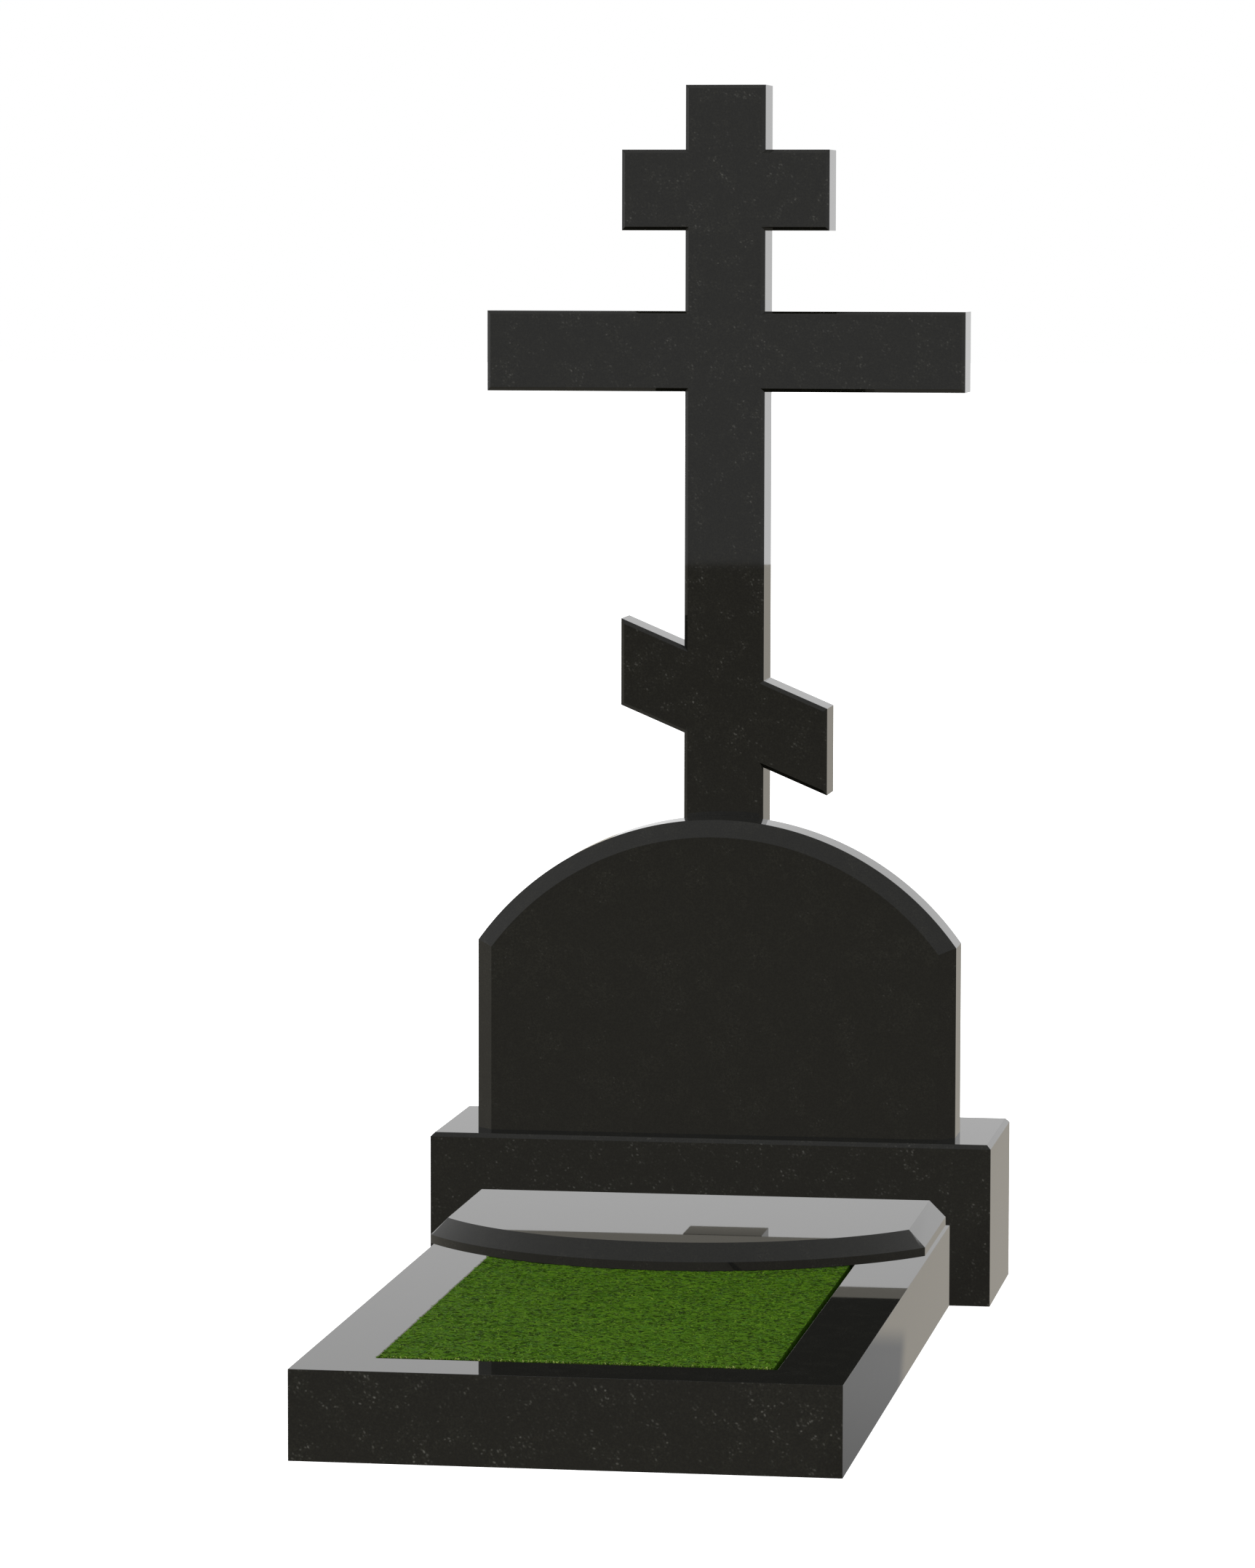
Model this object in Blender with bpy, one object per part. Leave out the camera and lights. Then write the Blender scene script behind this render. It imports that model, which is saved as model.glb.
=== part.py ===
"""Granite headstone: an arched stele and a three-bar cross on a plinth, with a turfed kerb in front.

The cross stands behind the stele, and a ledger lies across the back of the kerb. Metres, +Z up. The
viewer stands on the -Y side with +X to the right. The origin is on the ground in the middle of the
plan. Run it with blender --background --python part.py, or from the text editor.
"""

import math

import bmesh
import bpy

# Clearance between stones that touch, as a bed of adhesive would leave
JOINT = 0.0003

# Stele: a slab with straight sides, an arched head and a wide chamfer round the front
STELE_WIDTH = 0.600
STELE_SIDE_HEIGHT = 0.236
STELE_ARCH_RISE = 0.155
STELE_THICKNESS = 0.080
STELE_CHAMFER = 0.020

# Cross: one slab cut to outline, standing on the plinth against the back of the stele
CROSS_HEIGHT = 1.300
CROSS_THICKNESS = 0.070
CROSS_CHAMFER = 0.0025
STEM_WIDTH = 0.100
BAR_HEIGHT = 0.100
HEAD_ABOVE_TOP_BAR = 0.080
TOP_BAR_LENGTH = 0.260
GAP_BETWEEN_BARS = 0.100
FOOTREST_LENGTH = 0.260
FOOTREST_THICKNESS = 0.100
FOOTREST_TILT = math.radians(23.0)
FOOTREST_DROP = 0.393

# Plinth: carries the stele and the cross and shows a ledge all round them
PLINTH_HEIGHT = 0.200
PLINTH_CHAMFER = 0.005
PLINTH_SIDE_LEDGE = 0.050
PLINTH_FRONT_LEDGE = 0.040
PLINTH_REAR_LEDGE = 0.060

# Kerb: a front bar over the full width and two side bars that run back to the plinth
KERB_WIDTH = 0.600
KERB_LENGTH = 1.100
KERB_HEIGHT = 0.100
KERB_BAR_WIDTH = 0.080

# Ledger: a flat slab with a bowed, chamfered front, laid on the kerb against the plinth
LEDGER_SIDE_LENGTH = 0.238
LEDGER_BOW = 0.155
LEDGER_THICKNESS = 0.030
LEDGER_CHAMFER = 0.020
LEDGER_OFFSET_LEFT = 0.005

# Turf bed: fills the kerb, a little below its top and a little clear of its inner faces
TURF_DROP = 0.001
TURF_CLEARANCE = 0.001
TURF_CLEARANCE_RIGHT = 0.006

# Straight pieces along each arc
ARC_STEPS = 72
SMOOTH_BELOW = math.radians(20.0)

# Sizes that follow from the ones above; the cross's main bar is as long as the stele is wide
MAIN_BAR_LENGTH = STELE_WIDTH
PLINTH_WIDTH = STELE_WIDTH + 2.0 * PLINTH_SIDE_LEDGE
PLINTH_DEPTH = PLINTH_FRONT_LEDGE + STELE_THICKNESS + CROSS_THICKNESS + PLINTH_REAR_LEDGE
OVERALL_DEPTH = KERB_LENGTH + PLINTH_DEPTH
KERB_FRONT_Y = -OVERALL_DEPTH / 2.0
PLINTH_FRONT_Y = KERB_FRONT_Y + KERB_LENGTH
PLINTH_BACK_Y = PLINTH_FRONT_Y + PLINTH_DEPTH
STELE_FRONT_Y = PLINTH_FRONT_Y + PLINTH_FRONT_LEDGE
CROSS_FRONT_Y = STELE_FRONT_Y + STELE_THICKNESS + JOINT
CROSS_BACK_Y = CROSS_FRONT_Y + CROSS_THICKNESS
SEAT_Z = PLINTH_HEIGHT + JOINT
KERB_INNER_HALF = KERB_WIDTH / 2.0 - KERB_BAR_WIDTH
KERB_INNER_FRONT_Y = KERB_FRONT_Y + KERB_BAR_WIDTH


def clear_scene():
    """Remove every object, so that a second run starts empty."""
    for item in list(bpy.data.objects):
        bpy.data.objects.remove(item, do_unlink=True)


def polished_granite(name):
    """Near-black polished granite."""
    return principled(name, (0.013, 0.013, 0.011), 0.12)


def grass_green(name):
    """Short mown grass."""
    return principled(name, (0.055, 0.150, 0.018), 0.85)


def principled(name, colour, roughness):
    """A Principled material of one colour; none of the pieces is metal."""
    material = bpy.data.materials.new(name)
    material.use_nodes = True
    shader = material.node_tree.nodes["Principled BSDF"]
    shader.inputs["Base Color"].default_value = (*colour, 1.0)
    shader.inputs["Roughness"].default_value = roughness
    shader.inputs["Metallic"].default_value = 0.0
    material.diffuse_color = (*colour, 1.0)
    return material


def finish(name, bm, material, round_faces=False):
    """Turn a closed bmesh into a named object with outward faces and one material."""
    bmesh.ops.recalc_face_normals(bm, faces=bm.faces)
    mesh = bpy.data.meshes.new(name)
    bm.to_mesh(mesh)
    bm.free()
    if round_faces:
        mesh.shade_smooth()
        mesh.set_sharp_from_angle(angle=SMOOTH_BELOW)
    mesh.materials.append(material)
    piece = bpy.data.objects.new(name, mesh)
    bpy.context.scene.collection.objects.link(piece)
    return piece


def block(low, high):
    """A box between two opposite corners."""
    bm = bmesh.new()
    bmesh.ops.create_cube(bm, size=1.0)
    for vert in bm.verts:
        for axis in range(3):
            vert.co[axis] = high[axis] if vert.co[axis] > 0.0 else low[axis]
    return bm


def loft(rings):
    """A solid through rings of equally many points, closed by the first and the last ring."""
    bm = bmesh.new()
    rows = [[bm.verts.new(point) for point in ring] for ring in rings]
    for near, far in zip(rows, rows[1:]):
        for i in range(len(near)):
            j = (i + 1) % len(near)
            bm.faces.new((near[i], near[j], far[j], far[i]))
    bm.faces.new(rows[0])
    bm.faces.new(reversed(rows[-1]))
    return bm


def arched_outline(width, side, rise, inset):
    """Outline (across, along) of a slab with straight sides whose far end is one arc.

    Its straight end lies on along = 0. The sides and the arc are drawn in by inset, the arc about the
    same centre, so that a drawn-in outline runs parallel to the full one.
    """
    half = width / 2.0
    radius = (half * half + rise * rise) / (2.0 * rise)
    centre = side + rise - radius
    inner_half = half - inset
    inner_radius = radius - inset
    reach = math.asin(inner_half / inner_radius)
    points = [(-inner_half, 0.0), (inner_half, 0.0)]
    for step in range(ARC_STEPS + 1):
        angle = reach * (1.0 - 2.0 * step / ARC_STEPS)
        points.append((inner_radius * math.sin(angle), centre + inner_radius * math.cos(angle)))
    return points


def make_plinth(material):
    """Rectangular block, chamfered round its top."""
    half = PLINTH_WIDTH / 2.0
    bm = block((-half, PLINTH_FRONT_Y, 0.0), (half, PLINTH_BACK_Y, PLINTH_HEIGHT))
    top = [edge for edge in bm.edges if all(vert.co.z > PLINTH_HEIGHT / 2.0 for vert in edge.verts)]
    bmesh.ops.bevel(bm, geom=top, offset=PLINTH_CHAMFER, segments=1, affect="EDGES")
    return finish("plinth", bm, material)


def make_stele(material):
    """Arched slab on the plinth, its chamfer on the front of both sides and of the arch."""
    front = arched_outline(STELE_WIDTH, STELE_SIDE_HEIGHT, STELE_ARCH_RISE, STELE_CHAMFER)
    full = arched_outline(STELE_WIDTH, STELE_SIDE_HEIGHT, STELE_ARCH_RISE, 0.0)
    layers = ((front, 0.0), (full, STELE_CHAMFER), (full, STELE_THICKNESS))
    rings = [[(x, STELE_FRONT_Y + depth, SEAT_Z + z) for x, z in outline] for outline, depth in layers]
    return finish("stele", loft(rings), material, round_faces=True)


def make_ledger(material):
    """Flat slab on the kerb, its bowed front and both sides chamfered on top."""
    upper = arched_outline(KERB_WIDTH, LEDGER_SIDE_LENGTH, LEDGER_BOW, LEDGER_CHAMFER)
    full = arched_outline(KERB_WIDTH, LEDGER_SIDE_LENGTH, LEDGER_BOW, 0.0)
    back_y = PLINTH_FRONT_Y - JOINT
    low = KERB_HEIGHT + JOINT
    layers = ((full, 0.0), (full, LEDGER_THICKNESS - LEDGER_CHAMFER), (upper, LEDGER_THICKNESS))
    rings = [[(x - LEDGER_OFFSET_LEFT, back_y - y, low + up) for x, y in outline] for outline, up in layers]
    return finish("ledger", loft(rings), material, round_faces=True)


def cross_side(side):
    """Outline (x, z) of one side of the cross from foot to head; side is 1 for +X and -1 for -X."""
    stem = side * STEM_WIDTH / 2.0
    head = CROSS_HEIGHT
    top_bar_top = head - HEAD_ABOVE_TOP_BAR
    top_bar_foot = top_bar_top - BAR_HEIGHT
    main_bar_top = top_bar_foot - GAP_BETWEEN_BARS
    main_bar_foot = main_bar_top - BAR_HEIGHT
    footrest_z = main_bar_foot - FOOTREST_DROP
    half_cut = FOOTREST_THICKNESS / math.cos(FOOTREST_TILT) / 2.0
    slope = math.tan(FOOTREST_TILT)
    end = side * FOOTREST_LENGTH / 2.0
    points = [(stem, 0.0)]
    for x, cut in ((stem, -half_cut), (end, -half_cut), (end, half_cut), (stem, half_cut)):
        points.append((x, footrest_z - x * slope + cut))
    bars = ((main_bar_foot, main_bar_top, MAIN_BAR_LENGTH), (top_bar_foot, top_bar_top, TOP_BAR_LENGTH))
    for foot, top, length in bars:
        tip = side * length / 2.0
        points += [(stem, foot), (tip, foot), (tip, top), (stem, top)]
    points.append((stem, head))
    return points


def make_cross(material):
    """Three-bar cross with a slanted footrest, a fine chamfer along the edges of its front."""
    outline = cross_side(1.0) + cross_side(-1.0)[::-1]
    rings = [[(x, y, SEAT_Z + z) for x, z in outline] for y in (CROSS_FRONT_Y, CROSS_BACK_Y)]
    bm = loft(rings)
    middle_y = (CROSS_FRONT_Y + CROSS_BACK_Y) / 2.0
    front_edges = [edge for edge in bm.edges if all(vert.co.y < middle_y for vert in edge.verts)]
    bmesh.ops.bevel(bm, geom=front_edges, offset=CROSS_CHAMFER, segments=1, affect="EDGES")
    return finish("cross", bm, material)


def make_kerb_front(material):
    """Front bar of the kerb, over its full width."""
    half = KERB_WIDTH / 2.0
    bm = block((-half, KERB_FRONT_Y, 0.0), (half, KERB_INNER_FRONT_Y, KERB_HEIGHT))
    return finish("kerb_front", bm, material)


def make_kerb_side(name, side, material):
    """Side bar of the kerb, from the front bar to the plinth; side is 1 for +X and -1 for -X."""
    low_x, high_x = sorted((side * KERB_INNER_HALF, side * KERB_WIDTH / 2.0))
    low = (low_x, KERB_INNER_FRONT_Y + JOINT, 0.0)
    high = (high_x, PLINTH_FRONT_Y - JOINT, KERB_HEIGHT)
    return finish(name, block(low, high), material)


def make_turf_bed(material):
    """Block of turf and soil inside the kerb, running back under the ledger to the plinth."""
    low = (TURF_CLEARANCE - KERB_INNER_HALF, KERB_INNER_FRONT_Y + TURF_CLEARANCE, 0.0)
    high = (KERB_INNER_HALF - TURF_CLEARANCE_RIGHT, PLINTH_FRONT_Y - TURF_CLEARANCE, KERB_HEIGHT - TURF_DROP)
    return finish("turf_bed", block(low, high), material)


def main():
    """Build the eight pieces of the headstone."""
    clear_scene()
    make_plinth(polished_granite("plinth_granite"))
    make_stele(polished_granite("stele_granite"))
    make_cross(polished_granite("cross_granite"))
    make_kerb_front(polished_granite("kerb_front_granite"))
    make_kerb_side("kerb_left", -1.0, polished_granite("kerb_left_granite"))
    make_kerb_side("kerb_right", 1.0, polished_granite("kerb_right_granite"))
    make_ledger(polished_granite("ledger_granite"))
    make_turf_bed(grass_green("turf"))


main()
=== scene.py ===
"""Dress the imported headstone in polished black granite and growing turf, and light it in a pale studio.

Every stone is modelled again over its solid, with a finer arch and rubbed arrises, and the turf bed gets
soil and blades of grass. Metres, +Z up, in the frame of the solids: the viewer stands on the -Y side.
"""

import logging
import math
from collections.abc import Callable, Iterator
from contextlib import contextmanager
from dataclasses import dataclass, field
from enum import Enum

import bmesh
import bpy
import numpy as np
from mathutils import Matrix, Vector, noise

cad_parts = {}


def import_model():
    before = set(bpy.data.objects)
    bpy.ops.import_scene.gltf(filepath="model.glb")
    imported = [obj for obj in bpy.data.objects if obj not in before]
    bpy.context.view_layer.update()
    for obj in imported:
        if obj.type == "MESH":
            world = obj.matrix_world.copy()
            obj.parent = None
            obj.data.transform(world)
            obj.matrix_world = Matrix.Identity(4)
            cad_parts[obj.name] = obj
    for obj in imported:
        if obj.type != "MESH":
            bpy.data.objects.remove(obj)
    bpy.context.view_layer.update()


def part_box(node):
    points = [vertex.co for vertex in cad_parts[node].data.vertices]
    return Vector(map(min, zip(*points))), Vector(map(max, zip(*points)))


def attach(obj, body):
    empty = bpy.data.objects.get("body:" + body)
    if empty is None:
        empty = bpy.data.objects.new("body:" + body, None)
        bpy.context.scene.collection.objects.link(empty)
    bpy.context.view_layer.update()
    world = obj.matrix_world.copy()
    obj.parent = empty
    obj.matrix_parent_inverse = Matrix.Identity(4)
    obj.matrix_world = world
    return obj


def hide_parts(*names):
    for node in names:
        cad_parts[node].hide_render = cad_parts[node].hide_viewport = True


LOG = logging.getLogger("headstone")

BODY = "root"

# Two places count as the same within this distance
NEAR = 1e-5

# Corners round a full circle, of which an arched stone keeps a part
ARC_CORNERS = 720

# Corners round a floor
FLOOR_CORNERS = 128

# Edges sharper than this get an arris
ARRIS_ANGLE = math.radians(30.0)

# Edges of a stone sharper than this keep a hard break in their shading
HARD_ANGLE = math.radians(60.0)

# The same for the soil
CRUMB_ANGLE = math.radians(40.0)

# Faces that meet at less than this are one flat face
FLAT_ANGLE = math.radians(0.5)

# Attribute of a stone's faces: one on an upright face, zero on a level one
UPRIGHT = "upright"


class Slot(Enum):
    """Material slots of the record."""

    GRANITE = "polished_granite"
    TURF = "turf"


class Pick(Enum):
    """What an edit-mode selection picks."""

    EDGES = "EDGE"
    FACES = "FACE"


# Modelling by hand


def take_up(piece: bpy.types.Object) -> None:
    """Make a piece the only selected and the active object.

    Args:
        piece: The object that the next operators work on.
    """
    bpy.ops.object.select_all(action="DESELECT")
    piece.select_set(True)
    bpy.context.view_layer.objects.active = piece


@contextmanager
def editing(piece: bpy.types.Object) -> Iterator[None]:
    """Work on a piece in edit mode with all of it selected, and leave that mode afterwards.

    Args:
        piece: The mesh object to edit.
    """
    take_up(piece)
    bpy.ops.object.mode_set(mode="EDIT")
    bpy.ops.mesh.select_all(action="SELECT")
    yield
    bpy.ops.object.mode_set(mode="OBJECT")


def pick(piece: bpy.types.Object, kind: Pick, test: Callable[..., bool]) -> None:
    """Select, in edit mode, only the edges or faces that pass a test.

    Args:
        piece: The mesh object in edit mode.
        kind: Whether the test looks at edges or at faces.
        test: Says whether a bmesh edge or face is wanted.
    """
    bpy.ops.mesh.select_mode(type=kind.value)
    bpy.ops.mesh.select_all(action="DESELECT")
    shape = bmesh.from_edit_mesh(piece.data)
    for item in shape.edges if kind is Pick.EDGES else shape.faces:
        if test(item):
            item.select_set(True)
    shape.select_flush_mode()
    bmesh.update_edit_mesh(piece.data)


def lies_on(axis: int, value: float) -> Callable[..., bool]:
    """Make a test for edges or faces that lie wholly on a plane across one axis.

    Args:
        axis: 0, 1 or 2 for X, Y or Z.
        value: Where the plane crosses that axis.

    Returns:
        The test, for use with pick.
    """
    return lambda item: all(abs(vert.co[axis] - value) < NEAR for vert in item.verts)


def saw(point: tuple[float, float, float], outward: tuple[float, float, float], part: bool = True) -> None:
    """Cut the closed mesh in edit mode with a plane.

    Args:
        point: A point on the plane.
        outward: Direction that the plane faces.
        part: Whether the side that it faces is taken away, or only scored along the plane.
    """
    bpy.ops.mesh.select_all(action="SELECT")
    bpy.ops.mesh.bisect(plane_co=point, plane_no=outward, use_fill=part, clear_outer=part)


def start_block(name: str, low: Vector, high: Vector) -> bpy.types.Object:
    """Add a rectangular block between two corners.

    Args:
        name: Name of the new object.
        low: Lowest corner.
        high: Highest corner.

    Returns:
        The block, with its place in its mesh.
    """
    bpy.ops.object.select_all(action="DESELECT")
    bpy.ops.mesh.primitive_cube_add(size=1.0, location=(low + high) / 2.0, scale=high - low)
    return settle(name)


def start_chamfered_disc(
    name: str, centre: Vector, radius: float, chamfer: float, upright: bool
) -> bpy.types.Object:
    """Add the chamfered rim of a round slab, to saw an arched slab from.

    Args:
        name: Name of the new object.
        centre: Centre of its face, the small end.
        radius: Its full radius.
        chamfer: Width and depth of the chamfer.
        upright: Whether its face looks at the viewer or upwards.

    Returns:
        The rim as a closed solid, with its place in its mesh.
    """
    inward = Vector((0.0, 1.0, 0.0)) if upright else Vector((0.0, 0.0, -1.0))
    bpy.ops.object.select_all(action="DESELECT")
    bpy.ops.mesh.primitive_cone_add(
        vertices=ARC_CORNERS,
        radius1=radius,
        radius2=radius - chamfer,
        depth=chamfer,
        end_fill_type="NGON",
        location=centre + inward * chamfer / 2.0,
        rotation=(math.pi / 2.0 if upright else 0.0, 0.0, 0.0),
    )
    return settle(name)


def settle(name: str) -> bpy.types.Object:
    """Name the active object and put its place, turn and scale into its mesh.

    Args:
        name: Name for the object and its mesh.

    Returns:
        The object.
    """
    piece = bpy.context.active_object
    piece.name = name
    piece.data.name = name
    bpy.ops.object.transform_apply(location=True, rotation=True, scale=True)
    return piece


def apply_modifier(piece: bpy.types.Object, kind: str, **settings: object) -> None:
    """Add a modifier to a piece and apply it.

    Args:
        piece: The object.
        kind: The modifier's type.
        settings: Its settings by name.
    """
    take_up(piece)
    modifier = piece.modifiers.new(kind.title(), kind)
    for key, value in settings.items():
        setattr(modifier, key, value)
    bpy.ops.object.modifier_apply(modifier=modifier.name)


# Shader nodes


class Wire:
    """A value that flows between shader nodes; arithmetic on it adds Math nodes."""

    def __init__(self, board: "Board", socket: bpy.types.NodeSocket) -> None:
        """Wrap an output socket of a node on a board."""
        self.board = board
        self.socket = socket

    def twin(self, output: str) -> "Wire":
        """Another output of the same node."""
        return Wire(self.board, self.socket.node.outputs[output])

    def _reckon(self, operation: str, left: "Wire | float", right: "Wire | float") -> "Wire":
        """Add a Math node that works on two values."""
        return self.board.add("ShaderNodeMath", {"operation": operation}, {0: left, 1: right})

    def __add__(self, other: "Wire | float") -> "Wire":
        """Sum of this value and another."""
        return self._reckon("ADD", self, other)

    __radd__ = __add__

    def __sub__(self, other: "Wire | float") -> "Wire":
        """This value less another."""
        return self._reckon("SUBTRACT", self, other)

    def __rsub__(self, other: float) -> "Wire":
        """A number less this value."""
        return self._reckon("SUBTRACT", other, self)

    def __mul__(self, other: "Wire | float") -> "Wire":
        """Product of this value and another."""
        return self._reckon("MULTIPLY", self, other)

    __rmul__ = __mul__

    def __gt__(self, other: "Wire | float") -> "Wire":
        """One where this value is the greater, and zero elsewhere."""
        return self._reckon("GREATER_THAN", self, other)


class Board:
    """The node tree of one new material with its Principled shader."""

    def __init__(self, name: str) -> None:
        """Start a material.

        Args:
            name: The material's name.
        """
        self.material = bpy.data.materials.new(name)
        self.material.use_nodes = True
        self.shader = self.material.node_tree.nodes["Principled BSDF"]

    def add(self, kind: str, settings: dict, inputs: dict, output: int | str = 0) -> Wire:
        """Add any node and wire it up.

        Args:
            kind: The node's type.
            settings: Its properties, and under "stops" a ramp's positions and colours.
            inputs: Values or wires by socket name or number.
            output: Which output to hand back.

        Returns:
            The chosen output.
        """
        node = self.material.node_tree.nodes.new(kind)
        for key, value in settings.items():
            if key == "stops":
                self._set_stops(node.color_ramp, value)
            else:
                setattr(node, key, value)
        for key, value in inputs.items():
            self._feed(node.inputs[key], value)
        return Wire(self, node.outputs[output])

    def finish(self, **sockets: object) -> bpy.types.Material:
        """Set the shader's sockets, written with _ for a space.

        Args:
            sockets: Values or wires by socket name.

        Returns:
            The finished material.
        """
        for key, value in sockets.items():
            self._feed(self.shader.inputs[key.replace("_", " ")], value)
        return self.material

    def shape_coordinates(self) -> Wire:
        """Object coordinates, which move with the piece."""
        return self.add("ShaderNodeTexCoord", {}, {}, "Object")

    def fade(self, value: Wire, start: float, end: float, low: float = 0.0, high: float = 1.0) -> Wire:
        """Ease from low to high while a value goes from start up or down to end."""
        sockets = {"Value": value, "From Min": start, "From Max": end, "To Min": low, "To Max": high}
        return self.add("ShaderNodeMapRange", {"interpolation_type": "SMOOTHSTEP"}, sockets)

    def blend(self, amount: Wire, first: object, second: object) -> Wire:
        """Mix two colours, the second one by the amount."""
        return self.add("ShaderNodeMix", {"data_type": "RGBA"}, {0: amount, 6: first, 7: second}, 2)

    def cloud(self, place: Wire, size: float, detail: float = 2.0) -> Wire:
        """Noise whose patches are about as wide as size."""
        return self.add("ShaderNodeTexNoise", {}, {"Vector": place, "Scale": 1.0 / size, "Detail": detail})

    def _feed(self, socket: bpy.types.NodeSocket, value: object) -> None:
        """Link a wire to a socket, or set the socket's own value.

        Args:
            socket: The input socket.
            value: The wire, or the number, vector or colour.
        """
        if isinstance(value, Wire):
            self.material.node_tree.links.new(value.socket, socket)
        else:
            socket.default_value = value

    @staticmethod
    def _set_stops(ramp: bpy.types.ColorRamp, stops: list[tuple[float, tuple]]) -> None:
        """Give a ramp its stops.

        Args:
            ramp: The ramp of a new node.
            stops: Positions and colours.
        """
        while len(ramp.elements) < len(stops):
            ramp.elements.new(1.0)
        for element, (position, colour) in zip(ramp.elements, stops):
            element.position = position
            element.color = colour


def opaque(red: float, green: float, blue: float) -> tuple[float, float, float, float]:
    """A solid colour, in linear values."""
    return (red, green, blue, 1.0)


# Directions in which the bright crystals lie, as turns of the pattern in radians
CRYSTAL_LEANS = ((0.3, 0.5, 0.2), (1.4, -0.6, 0.9), (-0.8, 1.1, 2.0))


class Figure(Enum):
    """Flecks of a block: distance between crystals, share that is bright, and how strongly they show."""

    BROAD = (0.0045, 0.46, 0.85)
    FINE = (0.0042, 0.50, 0.50)
    QUIET = (0.0034, 0.20, 0.25)


@dataclass(frozen=True)
class PolishedGranite:
    """Mirror-polished black granite with sparse silver flecks, as one block was sawn and turned.

    Attributes:
        sawn: Place of this block in the pattern, so that no two stones repeat each other.
        figure: How its flecks lie and show.
        fleck: Half-width of a bright crystal, as a share of the distance between crystals.
        stretch: How many times longer than wide a crystal is.
        cluster: Size of the loose clusters of flecks.
        dust: Size of the fine dark grain.
        tint: Size of the patches in which the flecks are duller or brighter.
        level_glint: How strongly flecks show on a level face, as a share of an upright one.
        faintest: Strength of the faintest fleck, as a share of the strongest.
        polish: Roughness of the polish.
        dust_roughness: What the grain adds to it.
        fleck_roughness: What a fleck adds to it.
    """

    sawn: tuple[float, float, float]
    figure: Figure
    fleck: float = 0.37
    stretch: float = 1.8
    cluster: float = 0.026
    dust: float = 0.0020
    tint: float = 0.05
    level_glint: float = 0.15
    faintest: float = 0.15
    polish: float = 0.018
    dust_roughness: float = 0.008
    fleck_roughness: float = 0.16

    def material(self, name: str) -> bpy.types.Material:
        """Build the material.

        Args:
            name: Its name.

        Returns:
            The material.
        """
        grain, share, glint = self.figure.value
        board = Board(name)
        place = board.add(
            "ShaderNodeMapping", {}, {"Vector": board.shape_coordinates(), "Location": self.sawn}
        )
        clusters = board.fade(board.cloud(place, self.cluster, 3.0), 0.46, 0.66, 0.12, 1.0)
        upright = board.add("ShaderNodeAttribute", {"attribute_name": UPRIGHT}, {}, "Fac")
        shown = upright * (1.0 - self.level_glint) + self.level_glint
        flecks = self._flecks(board, place, grain, share) * clusters * shown * glint
        dust = board.fade(board.cloud(place, self.dust), 0.34, 0.70) * (clusters * 0.6 + 0.5)
        ground = board.blend(dust, opaque(0.0028, 0.0028, 0.0018), opaque(0.0100, 0.0100, 0.0072))
        tint = board.cloud(place, self.tint)
        silver = board.blend(tint, opaque(0.10, 0.10, 0.09), opaque(0.18, 0.18, 0.165))
        return board.finish(
            Base_Color=board.blend(flecks, ground, silver),
            Roughness=flecks * self.fleck_roughness + dust * self.dust_roughness + self.polish,
            Specular_IOR_Level=0.30,
        )

    def _flecks(self, board: Board, place: Wire, grain: float, share: float) -> Wire:
        """Work out where bright crystals show: short soft dashes that lie three ways.

        Args:
            board: The material's nodes.
            place: Place in the pattern.
            grain: Distance between crystals.
            share: Share of them that is bright.

        Returns:
            Strength of the flecks at each place, up to one.
        """
        found: Wire | float = 0.0
        for lean in CRYSTAL_LEANS:
            turned = board.add("ShaderNodeMapping", {}, {"Vector": place, "Rotation": lean})
            scale = (1.0 / grain, 1.0 / grain, 1.0 / (grain * self.stretch))
            drawn = board.add("ShaderNodeMapping", {}, {"Vector": turned, "Scale": scale})
            cells = board.add("ShaderNodeTexVoronoi", {}, {"Vector": drawn, "Scale": 1.0}, "Color")
            distance = cells.twin("Distance")
            chance = board.add("ShaderNodeSeparateColor", {}, {"Color": cells})
            strength = chance.twin("Green")
            speck = board.fade(distance, self.fleck, 0.0)
            shine = strength * strength * (1.0 - self.faintest) + self.faintest
            found = speck * (chance > 1.0 - share) * shine + found
        return found


@dataclass(frozen=True)
class GrassLeaf:
    """Colour of the blades, from their own tone, with painted shade that darkens each blade from the tip
    down to its root.

    Attributes:
        cool_patch: Size of the patches of a cooler green.
        shade_patch: Size of the lighter and darker patches.
    """

    cool_patch: float = 0.014
    shade_patch: float = 0.045

    def material(self) -> bpy.types.Material:
        """Build the material.

        Returns:
            The material.
        """
        board = Board("grass_leaf")
        tone = board.add("ShaderNodeAttribute", {"attribute_name": BladeMark.TONE.value}, {}, "Fac")
        reach = board.add("ShaderNodeAttribute", {"attribute_name": BladeMark.REACH.value}, {}, "Fac")
        stops = [
            (0.00, opaque(0.022, 0.062, 0.003)),
            (0.35, opaque(0.050, 0.120, 0.005)),
            (0.65, opaque(0.080, 0.172, 0.008)),
            (0.88, opaque(0.150, 0.255, 0.022)),
            (1.00, opaque(0.440, 0.510, 0.160)),
        ]
        leaf = board.add("ShaderNodeValToRGB", {"stops": stops}, {"Fac": tone})
        place = board.shape_coordinates()
        cool = board.fade(board.cloud(place, self.cool_patch), 0.52, 0.72, 0.0, 0.35)
        leaf = board.blend(cool, leaf, opaque(0.030, 0.125, 0.020))
        patches = board.fade(board.cloud(place, self.shade_patch), 0.35, 0.65, 0.88, 1.0)
        # Painted shade: blades darken towards the root, where the turf shades them; the patches are the
        # grass's own lighter and darker tone.
        patches_and_painted_root_shade = patches * board.fade(reach, 0.0, 0.6, 0.78, 1.0)
        dark = board.blend(patches_and_painted_root_shade, opaque(0.020, 0.062, 0.005), leaf)
        return board.finish(Base_Color=dark, Roughness=reach * -0.12 + 0.68, Specular_IOR_Level=0.02)


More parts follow.
